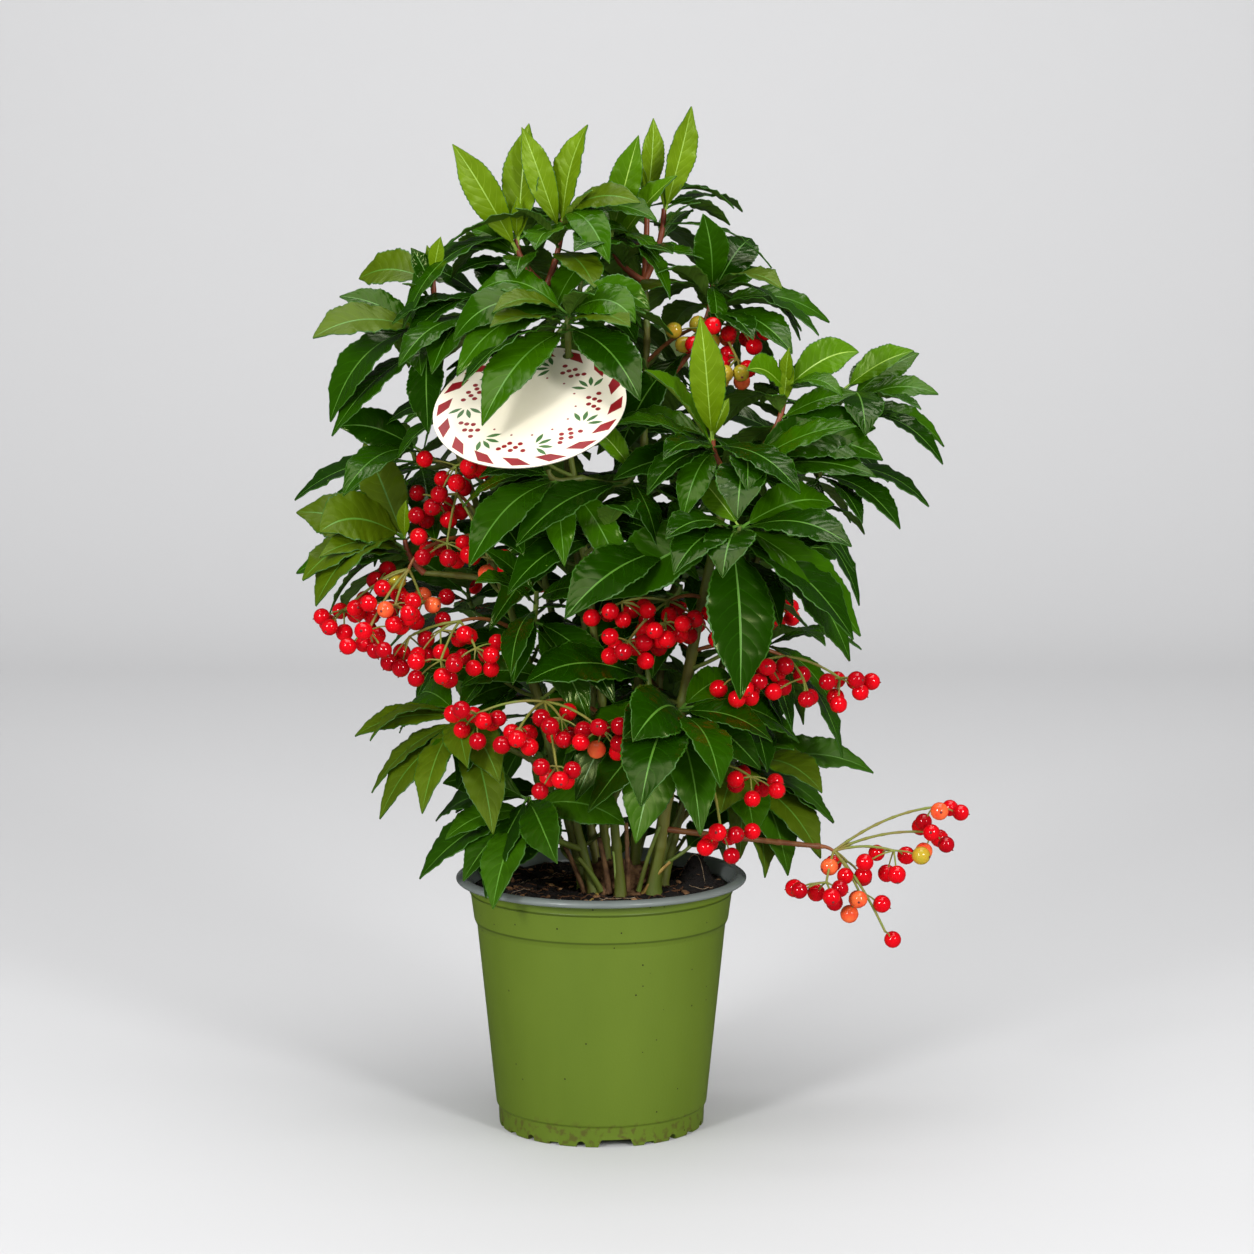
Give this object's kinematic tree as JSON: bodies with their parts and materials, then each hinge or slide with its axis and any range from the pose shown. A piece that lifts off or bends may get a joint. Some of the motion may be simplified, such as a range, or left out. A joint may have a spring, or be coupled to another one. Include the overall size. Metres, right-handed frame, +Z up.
{
  "type": "potted coral ardisia shrub",
  "caption": "Potted fruiting shrub: woody canes rising from a root crown, whorls of arching evergreen leaves, hanging umbels of red berries and a round card, in a nursery pot.",
  "frame": {"origin": "middle of the pot's underside, on its axis, at floor level", "axes": "+Z up along the pot's axis, -Y towards the front that the picture shows, +X to its right"},
  "size_m": [0.3206, 0.2467, 0.4881],
  "materials": {
    "pot": "satin olive-green moulded plastic with a grey rim",
    "soil": "moist dark potting compost with fibres and bark chips",
    "bark": "olive-green to brown bark, finely ridged, redder on the young shoots",
    "root_crown": "rough brown bark",
    "leaves": "glossy evergreen leaves, fresh green at the tips, olive below",
    "berries": "glossy red berries on thin stalks, a few orange and yellow",
    "card": null
  },
  "bodies": {
    "root": {"berries_back_left": "berries", "berries_back_right": "berries", "berries_centre": "berries", "berries_front": "berries", "berries_hanging": "berries", "berries_left_low": "berries", "berries_left_outer": "berries", "berries_left_upper": "berries", "berries_low_right": "berries", "berries_right": "berries", "berries_upper_right": "berries", "bough_back_low": "bark", "bough_face": "bark", "bough_front": "bark", "bough_hanging": "bark", "bough_left": "bark", "bough_low_front": "bark", "bough_low_left": "bark", "bough_low_right": "bark", "cane_back_left": "bark", "cane_back_right": "bark", "cane_centre": "bark", "cane_far_right": "bark", "cane_left": "bark", "cane_left_back": "bark", "cane_right": "bark", "cane_top_left": "bark", "cane_top_right": "bark", "card": "card", "leaves_back_left": "leaves", "leaves_back_low": "leaves", "leaves_back_middle": "leaves", "leaves_back_right": "leaves", "leaves_back_side": "leaves", "leaves_back_top": "leaves", "leaves_bottom_left": "leaves", "leaves_centre": "leaves", "leaves_far_right": "leaves", "leaves_front_crown": "leaves", "leaves_inner_left": "leaves", "leaves_inner_right": "leaves", "leaves_left": "leaves", "leaves_left_crown": "leaves", "leaves_low_front": "leaves", "leaves_low_left": "leaves", "leaves_low_right": "leaves", "leaves_middle": "leaves", "leaves_right": "leaves", "leaves_right_crown": "leaves", "leaves_right_face": "leaves", "leaves_right_front": "leaves", "leaves_top_left": "leaves", "leaves_top_right": "leaves", "pot": "pot", "root_crown": "root_crown", "soil": "soil"}
  },
  "joints": []
}
